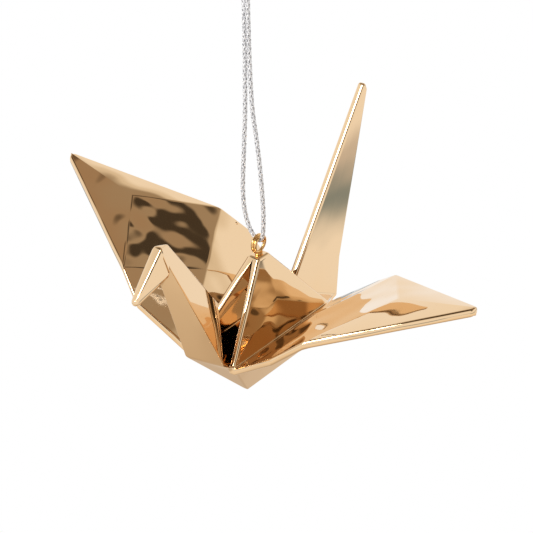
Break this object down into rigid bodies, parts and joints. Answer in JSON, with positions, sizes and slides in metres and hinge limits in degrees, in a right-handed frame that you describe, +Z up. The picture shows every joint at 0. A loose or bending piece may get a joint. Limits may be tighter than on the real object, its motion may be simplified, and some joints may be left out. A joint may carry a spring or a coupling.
{
  "type": "hanging origami crane ornament",
  "caption": "Gold-plated moulded ornament in the form of a folded paper crane, hung by a silver cord loop through a wire eye on its back.",
  "frame": {"origin": "middle of the wire ring of the hanging eye, above the apex of the crane's hump", "axes": "the crane faces -Y with its tail towards +Y, +X is its left wing and +Z is up, with X = 0 as its mirror plane"},
  "size_m": [0.127, 0.0907, 0.116],
  "materials": {
    "gold_plating": "vacuum-plated polished gold over moulded plastic",
    "gold_wire": "polished gold wire",
    "silver_cord": "knitted silver metallic thread"
  },
  "bodies": {
    "root": {"crane_body": "gold_plating", "hanging_eye": "gold_wire", "hanging_cord": "silver_cord", "cord_knot": "silver_cord"}
  },
  "joints": []
}
